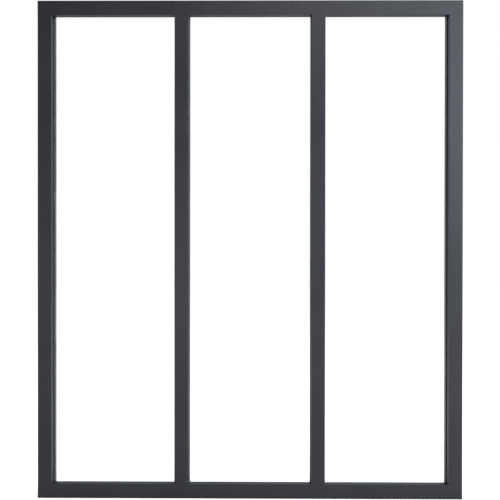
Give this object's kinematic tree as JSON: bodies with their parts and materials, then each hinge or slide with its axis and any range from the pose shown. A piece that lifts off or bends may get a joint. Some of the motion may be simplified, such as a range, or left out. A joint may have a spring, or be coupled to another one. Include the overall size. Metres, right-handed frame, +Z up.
{
  "type": "interior glass partition",
  "caption": "Fixed interior glass partition: slim dark coated aluminium frame with upright mullions and clear panes, set in the rails' channels and held by clip-in beads and gaskets, fixed in a wall opening.",
  "frame": {"origin": "centre of the bottom rail's underside, in the middle of the width and of the depth", "axes": "+X along the width to the right as seen in the picture, +Y from the front face to the back, +Z up"},
  "size_m": [0.93, 0.04, 1.09],
  "materials": {
    "frame_coating": "satin",
    "clear_glass": "polished",
    "gasket_rubber": "matte",
    "block_plastic": "matte",
    "zinc_screw": "satin"
  },
  "bodies": {
    "root": {"bottom_rail": "frame_coating", "top_rail": "frame_coating", "left_stile": "frame_coating", "right_stile": "frame_coating", "left_mullion": "frame_coating", "right_mullion": "frame_coating", "left_pane": "clear_glass", "left_bay_setting_blocks": "block_plastic", "left_bay_front_gasket": "gasket_rubber", "left_bay_back_gasket": "gasket_rubber", "left_bay_left_bead": "frame_coating", "left_bay_right_bead": "frame_coating", "middle_pane": "clear_glass", "middle_bay_setting_blocks": "block_plastic", "middle_bay_front_gasket": "gasket_rubber", "middle_bay_back_gasket": "gasket_rubber", "middle_bay_left_bead": "frame_coating", "middle_bay_right_bead": "frame_coating", "right_pane": "clear_glass", "right_bay_setting_blocks": "block_plastic", "right_bay_front_gasket": "gasket_rubber", "right_bay_back_gasket": "gasket_rubber", "right_bay_left_bead": "frame_coating", "right_bay_right_bead": "frame_coating"}
  },
  "joints": []
}
